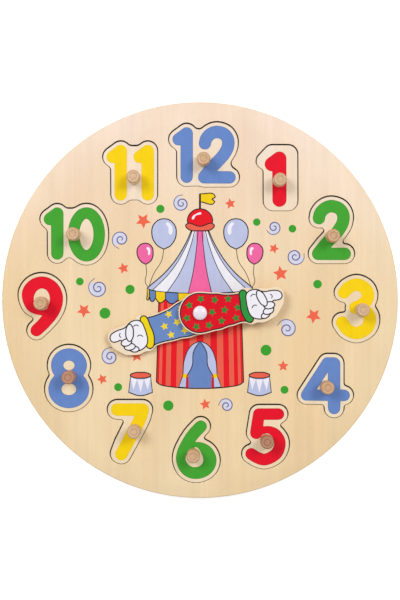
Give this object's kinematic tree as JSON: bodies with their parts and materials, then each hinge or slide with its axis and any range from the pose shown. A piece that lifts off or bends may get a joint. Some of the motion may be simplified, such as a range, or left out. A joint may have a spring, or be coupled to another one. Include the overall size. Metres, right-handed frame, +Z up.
{
  "type": "clock puzzle",
  "caption": "Round wooden clock puzzle with lift-out numeral plates on pegs and turning hour and minute hands.",
  "frame": {"origin": "middle of the board's underside, on the table", "axes": "+Z up out of the printed face, +Y towards twelve o'clock, +X towards three"},
  "size_m": [0.3, 0.3, 0.0213],
  "materials": {
    "face_birch": "pale birch plywood, clear satin varnish over a printed face",
    "back_birch": "pale birch plywood, sanded and unprinted",
    "red_numeral": "birch plywood with a red screen-printed numeral, satin",
    "yellow_numeral": "birch plywood with a yellow screen-printed numeral, satin",
    "green_numeral": "birch plywood with a green screen-printed numeral, satin",
    "blue_numeral": "birch plywood with a blue screen-printed numeral, satin",
    "peg_beech": "turned beech, lightly waxed",
    "hand_birch": "birch plywood with a printed face and a bare border",
    "white_plastic": "white moulded plastic, smooth",
    "clear_nylon": "natural nylon, dull"
  },
  "bodies": {
    "board": {"frame_board": "face_birch", "back_board": "back_birch", "pivot_pin": "white_plastic", "pivot_cap": "white_plastic", "spacer_washer_lower": "clear_nylon", "spacer_washer_upper": "clear_nylon", "back_washer": "clear_nylon"},
    "minute_hand": {"minute_hand": "hand_birch"},
    "hour_hand": {"hour_hand": "hand_birch"},
    "numeral_1": {"number_1": "red_numeral", "peg_1": "peg_beech"},
    "numeral_2": {"number_2": "green_numeral", "peg_2": "peg_beech"},
    "numeral_3": {"number_3": "yellow_numeral", "peg_3": "peg_beech"},
    "numeral_4": {"number_4": "blue_numeral", "peg_4": "peg_beech"},
    "numeral_5": {"number_5": "red_numeral", "peg_5": "peg_beech"},
    "numeral_6": {"number_6": "green_numeral", "peg_6": "peg_beech"},
    "numeral_7": {"number_7": "yellow_numeral", "peg_7": "peg_beech"},
    "numeral_8": {"number_8": "blue_numeral", "peg_8": "peg_beech"},
    "numeral_9": {"number_9": "red_numeral", "peg_9": "peg_beech"},
    "numeral_10": {"number_10": "green_numeral", "peg_10": "peg_beech"},
    "numeral_11": {"number_11": "yellow_numeral", "peg_11": "peg_beech"},
    "numeral_12": {"number_12": "blue_numeral", "peg_12": "peg_beech"}
  },
  "joints": [
    {"name": "minute_hand_turn", "type": "hinge", "parent": "board", "child": "minute_hand", "pos_m": [0, -0.0097, 0.0112], "axis": [0, 0, 1], "continuous": true},
    {"name": "hour_hand_turn", "type": "hinge", "parent": "board", "child": "hour_hand", "pos_m": [0, -0.0097, 0.0154], "axis": [0, 0, 1], "continuous": true},
    {"name": "numeral_1_lift", "type": "slide", "parent": "board", "child": "numeral_1", "axis": [0, 0, 1], "range_m": [0, 0.03]},
    {"name": "numeral_2_lift", "type": "slide", "parent": "board", "child": "numeral_2", "axis": [0, 0, 1], "range_m": [0, 0.03]},
    {"name": "numeral_3_lift", "type": "slide", "parent": "board", "child": "numeral_3", "axis": [0, 0, 1], "range_m": [0, 0.03]},
    {"name": "numeral_4_lift", "type": "slide", "parent": "board", "child": "numeral_4", "axis": [0, 0, 1], "range_m": [0, 0.03]},
    {"name": "numeral_5_lift", "type": "slide", "parent": "board", "child": "numeral_5", "axis": [0, 0, 1], "range_m": [0, 0.03]},
    {"name": "numeral_6_lift", "type": "slide", "parent": "board", "child": "numeral_6", "axis": [0, 0, 1], "range_m": [0, 0.03]},
    {"name": "numeral_7_lift", "type": "slide", "parent": "board", "child": "numeral_7", "axis": [0, 0, 1], "range_m": [0, 0.03]},
    {"name": "numeral_8_lift", "type": "slide", "parent": "board", "child": "numeral_8", "axis": [0, 0, 1], "range_m": [0, 0.03]},
    {"name": "numeral_9_lift", "type": "slide", "parent": "board", "child": "numeral_9", "axis": [0, 0, 1], "range_m": [0, 0.03]},
    {"name": "numeral_10_lift", "type": "slide", "parent": "board", "child": "numeral_10", "axis": [0, 0, 1], "range_m": [0, 0.03]},
    {"name": "numeral_11_lift", "type": "slide", "parent": "board", "child": "numeral_11", "axis": [0, 0, 1], "range_m": [0, 0.03]},
    {"name": "numeral_12_lift", "type": "slide", "parent": "board", "child": "numeral_12", "axis": [0, 0, 1], "range_m": [0, 0.03]}
  ]
}
